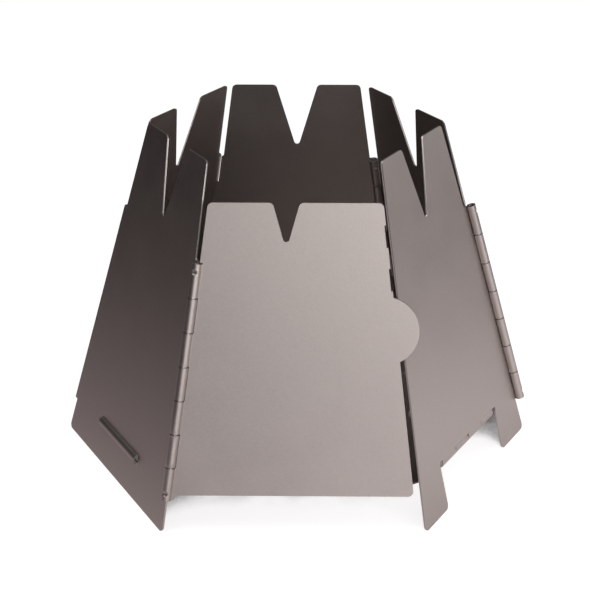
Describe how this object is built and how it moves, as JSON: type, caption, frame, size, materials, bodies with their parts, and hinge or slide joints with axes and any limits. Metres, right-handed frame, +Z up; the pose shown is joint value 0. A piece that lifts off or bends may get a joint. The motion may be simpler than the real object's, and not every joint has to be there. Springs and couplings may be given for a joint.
{
  "type": "folding wood stove",
  "caption": "Hexagonal tapered folding twig stove of thin titanium sheet, with hinged walls, a swinging door and a perforated floor that swings up",
  "frame": {"origin": "middle of the hexagon that the walls stand on, on the ground", "axes": "+Z up to the pot edge, the door faces -Y, +X to the right as seen from the door"},
  "size_m": [0.1447, 0.1267, 0.1016],
  "materials": {
    "sheet": "bead-blasted titanium sheet with bright sheared edges",
    "pin": "drawn titanium wire"
  },
  "bodies": {
    "right_front": {"right_front_wall": "sheet", "floor_hinge_pin": "pin"},
    "right_back": {"right_back_wall": "sheet", "right_front_hinge_pin": "pin"},
    "back": {"back_wall": "sheet", "right_back_hinge_pin": "pin"},
    "left_back": {"left_back_wall": "sheet", "left_back_hinge_pin": "pin"},
    "left_front": {"left_front_wall": "sheet", "left_front_hinge_pin": "pin"},
    "door": {"door": "sheet", "door_hinge_pin": "pin"},
    "floor": {"floor_plate": "sheet"}
  },
  "joints": [
    {"name": "unfold", "type": "hinge", "parent": "right_front", "child": "right_back", "pos_m": [0.06199, 0, 0.04299], "axis": [0.2774, 0, -0.9608], "range_deg": [0, 58]},
    {"name": "right_back_fold", "type": "hinge", "parent": "right_back", "child": "back", "pos_m": [0.02973, 0.05149, 0.04226], "axis": [0.1387, 0.2402, -0.9608], "range_deg": [0, 58]},
    {"name": "left_back_fold", "type": "hinge", "parent": "back", "child": "left_back", "pos_m": [-0.03099, 0.05368, 0.04299], "axis": [-0.1387, 0.2402, -0.9608], "range_deg": [0, 224]},
    {"name": "left_front_fold", "type": "hinge", "parent": "left_back", "child": "left_front", "pos_m": [-0.05946, 0, 0.04226], "axis": [-0.2774, 0, -0.9608], "range_deg": [0, 58]},
    {"name": "door_swing", "type": "hinge", "parent": "left_front", "child": "door", "pos_m": [-0.03099, -0.05368, 0.04299], "axis": [-0.1387, -0.2402, -0.9608], "range_deg": [0, 238]},
    {"name": "floor_swing", "type": "hinge", "parent": "right_front", "child": "floor", "pos_m": [0.05099, -0.02944, 0.0127], "axis": [0.5, 0.866, 0], "range_deg": [0, 75.5]}
  ],
  "couplings": [
    {"joint": "right_back_fold", "follows": "unfold", "ratio": 1},
    {"joint": "left_back_fold", "follows": "unfold", "ratio": 3.86},
    {"joint": "left_front_fold", "follows": "unfold", "ratio": 1},
    {"joint": "floor_swing", "follows": "unfold", "ratio": 1.3}
  ]
}
